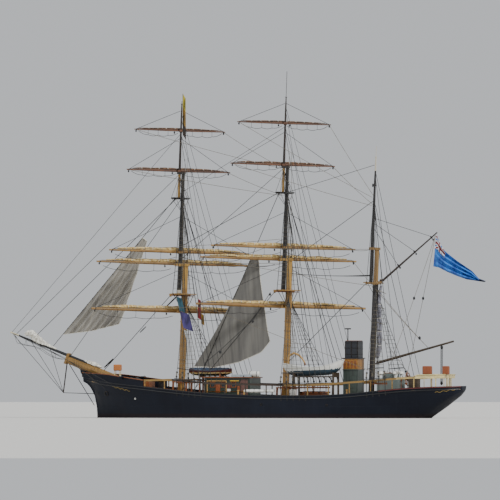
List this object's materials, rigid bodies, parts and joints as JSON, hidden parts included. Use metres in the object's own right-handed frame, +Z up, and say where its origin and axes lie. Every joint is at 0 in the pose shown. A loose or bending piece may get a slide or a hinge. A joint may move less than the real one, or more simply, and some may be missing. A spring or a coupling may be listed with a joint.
{
  "type": "three-masted barque, 1:2 scale model",
  "caption": "Black-hulled three-masted sailing ship at anchor, sails stowed, with swinging yards, gaff, boom, steering gear, propeller and doors; half real size.",
  "frame": {"origin": "amidships on the centreline, in the waterline", "axes": "+X aft, +Y to starboard, +Z up"},
  "size_m": [24.3547, 5.6651, 18.5115],
  "materials": {
    "hull_black_paint": "semi-gloss blue-black paint, dull red below the waterline",
    "deck_planks": "weathered pine planking",
    "rail_paint": "buff yellow paint",
    "mast_buff": "golden buff paint",
    "spar_black": "black paint",
    "yard_buff": "golden brown varnish",
    "yard_brown": "red-brown varnish",
    "rigging_wire": "tarred and served wire",
    "sailcloth": "grey-beige canvas",
    "house_green": "dark green paint",
    "house_teak": "oiled teak",
    "chart_panels": "golden varnished panelling",
    "chart_top_black": "dull black paint",
    "trunk_grey": "grey-green paint",
    "ironwork": "black ironwork",
    "bronze": "cast bronze",
    "boat_white": "white paint over a blue-green bottom",
    "boat_cover": "painted boat under a blue-grey cover",
    "ensign_cloth": "blue bunting"
  },
  "bodies": {
    "hull": {"after_trunk": "trunk_grey", "boat_gallows": "rail_paint", "bowsprit": "mast_buff", "brailed_spanker": "sailcloth", "charthouse_top": "chart_top_black", "charthouse_walls": "chart_panels", "deck": "deck_planks", "fore_lower_mast": "mast_buff", "fore_port_shrouds": "rigging_wire", "fore_starboard_shrouds": "rigging_wire", "fore_topgallant_mast": "spar_black", "fore_topmast": "spar_black", "forestay": "rigging_wire", "forward_house_roof": "house_teak", "forward_house_walls": "house_green", "furled_headsails": "sailcloth", "house_boat": "boat_cover", "hull": "hull_black_paint", "jib": "sailcloth", "jib_stay": "rigging_wire", "jibboom": "spar_black", "main_hatch": "house_teak", "main_lower_mast": "mast_buff", "main_port_shrouds": "rigging_wire", "main_starboard_shrouds": "rigging_wire", "main_stay": "rigging_wire", "main_staysail": "sailcloth", "main_topgallant_mast": "spar_black", "main_topmast": "spar_black", "main_topmast_stay": "rigging_wire", "mizzen_lower_mast": "mast_buff", "mizzen_port_shrouds": "rigging_wire", "mizzen_starboard_shrouds": "rigging_wire", "mizzen_stay": "rigging_wire", "mizzen_topmast": "spar_black", "port_longboat": "boat_white", "port_rail": "rail_paint", "starboard_anchor": "ironwork", "starboard_rail": "rail_paint", "wheel_box": "house_teak", "windlass": "ironwork"},
    "fore_course_yard": {"fore_course_yard": "yard_buff"},
    "fore_lower_topsail_yard": {"fore_lower_topsail_yard": "yard_buff"},
    "fore_royal_yard": {"fore_royal_yard": "yard_brown"},
    "fore_topgallant_yard": {"fore_topgallant_yard": "yard_brown"},
    "fore_upper_topsail_yard": {"fore_upper_topsail_yard": "yard_buff"},
    "main_course_yard": {"main_course_yard": "yard_buff"},
    "main_lower_topsail_yard": {"main_lower_topsail_yard": "yard_buff"},
    "main_royal_yard": {"main_royal_yard": "yard_brown"},
    "main_topgallant_yard": {"main_topgallant_yard": "yard_brown"},
    "main_upper_topsail_yard": {"main_upper_topsail_yard": "yard_buff"},
    "gaff": {"gaff": "mast_buff", "ensign": "ensign_cloth"},
    "boom": {"boom": "mast_buff"},
    "rudder": {"rudder": "hull_black_paint"},
    "steering_wheel": {"steering_wheel": "house_teak"},
    "propeller": {"propeller": "bronze"},
    "forward_house_port_door": {"forward_house_port_door": "house_teak"},
    "forward_house_starboard_door": {"forward_house_starboard_door": "house_teak"},
    "charthouse_door": {"charthouse_door": "chart_panels"}
  },
  "joints": [
    {"name": "fore_course_yard_brace", "type": "hinge", "parent": "hull", "child": "fore_course_yard", "pos_m": [-4.35374, 0, 5.15733], "axis": [0.0349, 0, 0.9994], "range_deg": [0, 100]},
    {"name": "fore_lower_topsail_yard_brace", "type": "hinge", "parent": "hull", "child": "fore_lower_topsail_yard", "pos_m": [-4.49421, 0, 7.43863], "axis": [0.0349, 0, 0.9994], "range_deg": [0, 100]},
    {"name": "fore_royal_yard_brace", "type": "hinge", "parent": "hull", "child": "fore_royal_yard", "pos_m": [-4.21501, 0, 13.85779], "axis": [0.0349, 0, 0.9994], "range_deg": [0, 100]},
    {"name": "fore_topgallant_yard_brace", "type": "hinge", "parent": "hull", "child": "fore_topgallant_yard", "pos_m": [-4.28305, 0, 11.90948], "axis": [0.0349, 0, 0.9994], "range_deg": [0, 100]},
    {"name": "fore_upper_topsail_yard_brace", "type": "hinge", "parent": "hull", "child": "fore_upper_topsail_yard", "pos_m": [-4.23428, 0, 8.0049], "axis": [0.0349, 0, 0.9994], "range_deg": [0, 100]},
    {"name": "main_course_yard_brace", "type": "hinge", "parent": "hull", "child": "main_course_yard", "pos_m": [0.99412, 0, 5.3822], "axis": [0.0349, 0, 0.9994], "range_deg": [0, 100]},
    {"name": "main_lower_topsail_yard_brace", "type": "hinge", "parent": "hull", "child": "main_lower_topsail_yard", "pos_m": [0.85277, 0, 7.6385], "axis": [0.0349, 0, 0.9994], "range_deg": [0, 100]},
    {"name": "main_royal_yard_brace", "type": "hinge", "parent": "hull", "child": "main_royal_yard", "pos_m": [1.13633, 0, 14.18259], "axis": [0.0349, 0, 0.9994], "range_deg": [0, 100]},
    {"name": "main_topgallant_yard_brace", "type": "hinge", "parent": "hull", "child": "main_topgallant_yard", "pos_m": [1.06655, 0, 12.18431], "axis": [0.0349, 0, 0.9994], "range_deg": [0, 100]},
    {"name": "main_upper_topsail_yard_brace", "type": "hinge", "parent": "hull", "child": "main_upper_topsail_yard", "pos_m": [1.11269, 0, 8.20478], "axis": [0.0349, 0, 0.9994], "range_deg": [0, 100]},
    {"name": "gaff_swing", "type": "hinge", "parent": "hull", "child": "gaff", "pos_m": [6.00916, 0, 6.60779], "axis": [0.0436, 0, 0.999], "range_deg": [-45, 45]},
    {"name": "boom_swing", "type": "hinge", "parent": "hull", "child": "boom", "pos_m": [5.84795, 0, 2.68609], "axis": [0.0436, 0, 0.999], "range_deg": [-45, 45]},
    {"name": "rudder_turn", "type": "hinge", "parent": "hull", "child": "rudder", "pos_m": [7.975, 0, -1], "axis": [0, 0, 1], "range_deg": [-35, 35]},
    {"name": "wheel_turn", "type": "hinge", "parent": "hull", "child": "steering_wheel", "pos_m": [7.375, 0, 1.875], "axis": [1, 0, 0], "range_deg": [-545, 545]},
    {"name": "propeller_spin", "type": "hinge", "parent": "hull", "child": "propeller", "pos_m": [7.55, 0, -1.21], "axis": [1, 0, 0], "continuous": true},
    {"name": "forward_house_port_door_hinge", "type": "hinge", "parent": "hull", "child": "forward_house_port_door", "pos_m": [-0.8775, -0.7975, 1.5], "axis": [0, 0, 1], "range_deg": [-110, 0]},
    {"name": "forward_house_starboard_door_hinge", "type": "hinge", "parent": "hull", "child": "forward_house_starboard_door", "pos_m": [-0.8775, 0.7975, 1.5], "axis": [0, 0, 1], "range_deg": [0, 110]},
    {"name": "charthouse_door_hinge", "type": "hinge", "parent": "hull", "child": "charthouse_door", "pos_m": [4.5975, -0.4725, 1.5], "axis": [0, 0, 1], "range_deg": [-110, 0]}
  ],
  "couplings": [
    {"joint": "wheel_turn", "follows": "rudder_turn", "ratio": -15.429}
  ]
}
